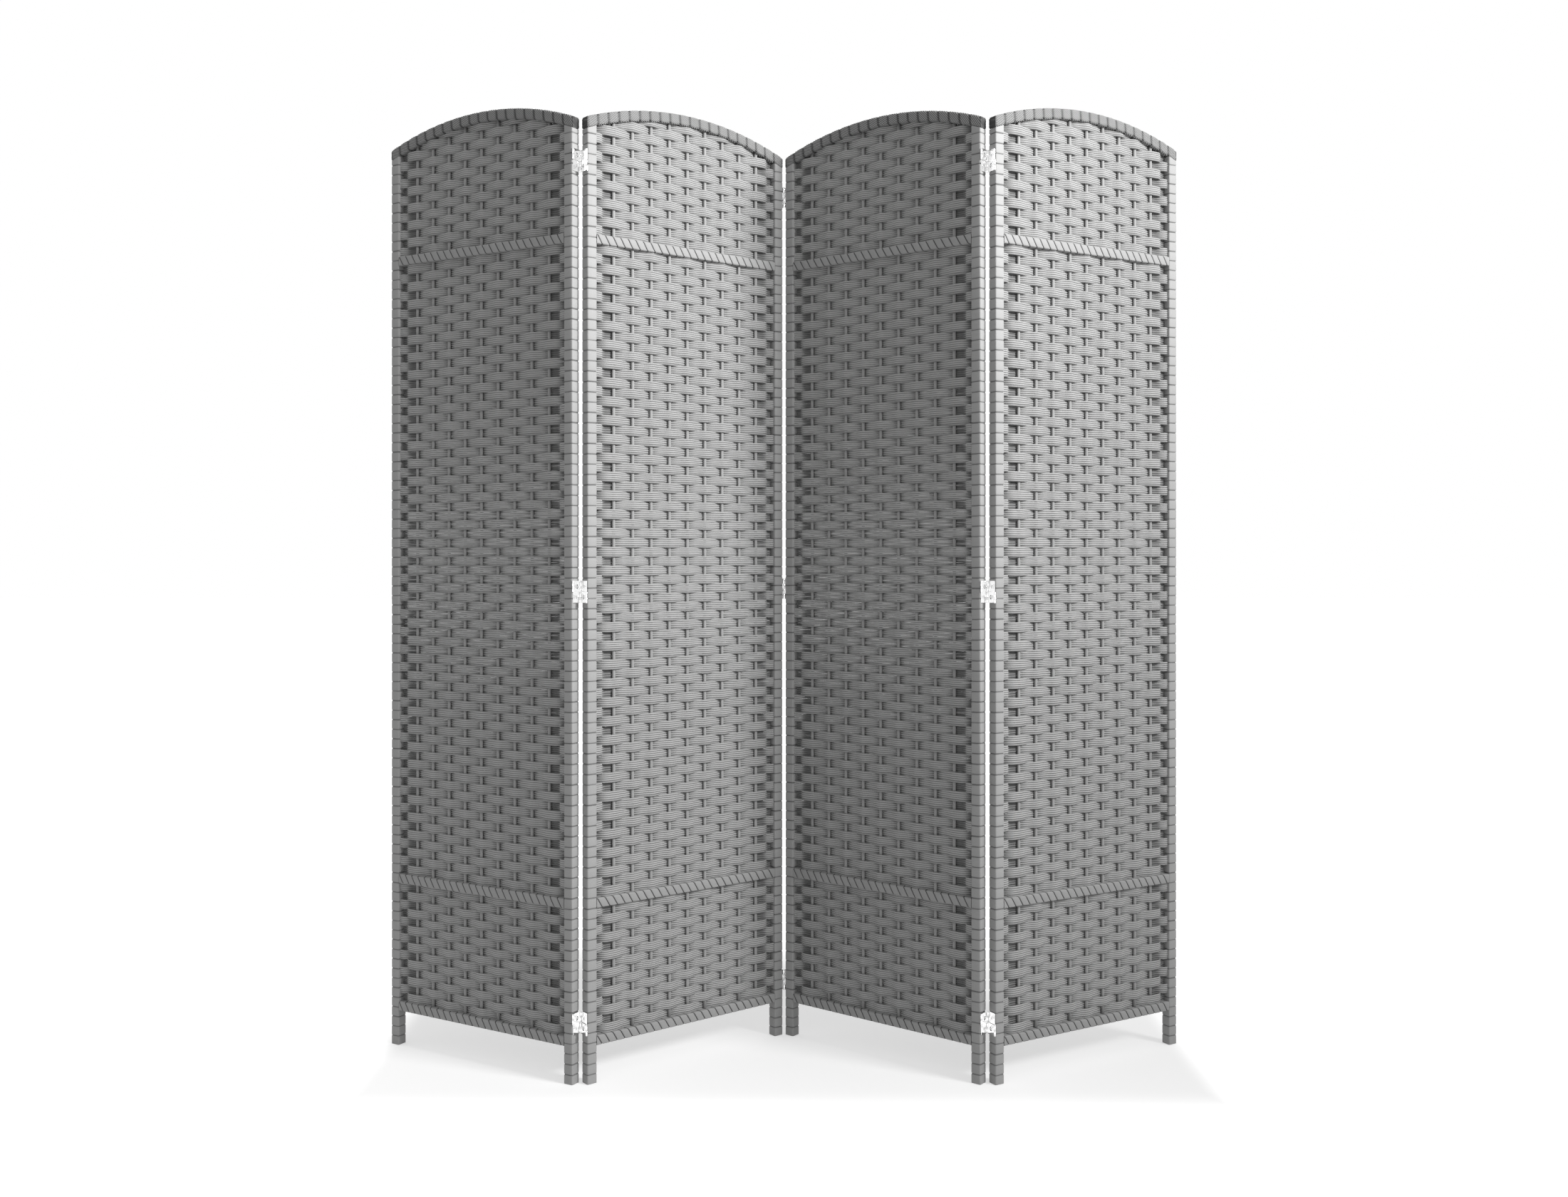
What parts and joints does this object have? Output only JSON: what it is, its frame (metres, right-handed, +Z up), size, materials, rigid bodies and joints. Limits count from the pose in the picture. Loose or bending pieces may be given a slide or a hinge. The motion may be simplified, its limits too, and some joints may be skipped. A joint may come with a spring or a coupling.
{
  "type": "folding screen",
  "caption": "Folding room divider: arched wood-framed panels filled with flat woven paper cord on upright sticks, joined in a zigzag by two-way hinges.",
  "frame": {"origin": "on the floor, at the middle of the standing screen's outline", "axes": "+X along the screen to the right seen from the front, +Y to the back, +Z up"},
  "size_m": [1.539, 0.3052, 1.79],
  "materials": {
    "frame": "grey flat paper cord wound round the wood, smooth, satin",
    "arch": "grey twisted paper cord wound round the bowed bar",
    "rail": "grey flat paper cord wound on the slant, smooth, satin",
    "stick": "grey stained upright stick",
    "weave": "grey twisted paper cord, five side by side in each woven band",
    "hinge_steel": "bright plated steel",
    "pin_steel": "plain steel pin"
  },
  "bodies": {
    "panel_1": {"stile_left_1": "frame", "stile_right_1": "frame", "arch_rail_1": "arch", "upper_rail_1": "rail", "lower_rail_1": "rail", "bottom_rail_1": "rail", "sticks_1": "stick", "weave_top_1": "weave", "weave_middle_1": "weave", "weave_bottom_1": "weave", "hinge_leaves_1": "hinge_steel", "hinge_links_1": "hinge_steel", "hinge_pins_1": "pin_steel"},
    "panel_2": {"stile_left_2": "frame", "stile_right_2": "frame", "arch_rail_2": "arch", "upper_rail_2": "rail", "lower_rail_2": "rail", "bottom_rail_2": "rail", "sticks_2": "stick", "weave_top_2": "weave", "weave_middle_2": "weave", "weave_bottom_2": "weave", "hinge_leaves_2": "hinge_steel", "hinge_links_2": "hinge_steel", "hinge_pins_2": "pin_steel"},
    "panel_3": {"stile_left_3": "frame", "stile_right_3": "frame", "arch_rail_3": "arch", "upper_rail_3": "rail", "lower_rail_3": "rail", "bottom_rail_3": "rail", "sticks_3": "stick", "weave_top_3": "weave", "weave_middle_3": "weave", "weave_bottom_3": "weave", "hinge_leaves_3": "hinge_steel", "hinge_links_3": "hinge_steel", "hinge_pins_3": "pin_steel"},
    "panel_4": {"stile_left_4": "frame", "stile_right_4": "frame", "arch_rail_4": "arch", "upper_rail_4": "rail", "lower_rail_4": "rail", "bottom_rail_4": "rail", "sticks_4": "stick", "weave_top_4": "weave", "weave_middle_4": "weave", "weave_bottom_4": "weave", "hinge_leaves_4": "hinge_steel", "hinge_links_4": "hinge_steel", "hinge_pins_4": "pin_steel"}
  },
  "joints": [
    {"name": "fold_1_2", "type": "hinge", "parent": "panel_2", "child": "panel_1", "pos_m": [-0.36916, -0.13257, 0.892], "axis": [0, 0, 1], "range_deg": [-111, 69]},
    {"name": "fold_2_3", "type": "hinge", "parent": "panel_2", "child": "panel_3", "pos_m": [0, 0.13423, 0.892], "axis": [0, 0, 1], "range_deg": [-102, 77]},
    {"name": "fold_3_4", "type": "hinge", "parent": "panel_3", "child": "panel_4", "pos_m": [0.36916, -0.13257, 0.892], "axis": [0, 0, 1], "range_deg": [-69, 111]}
  ]
}
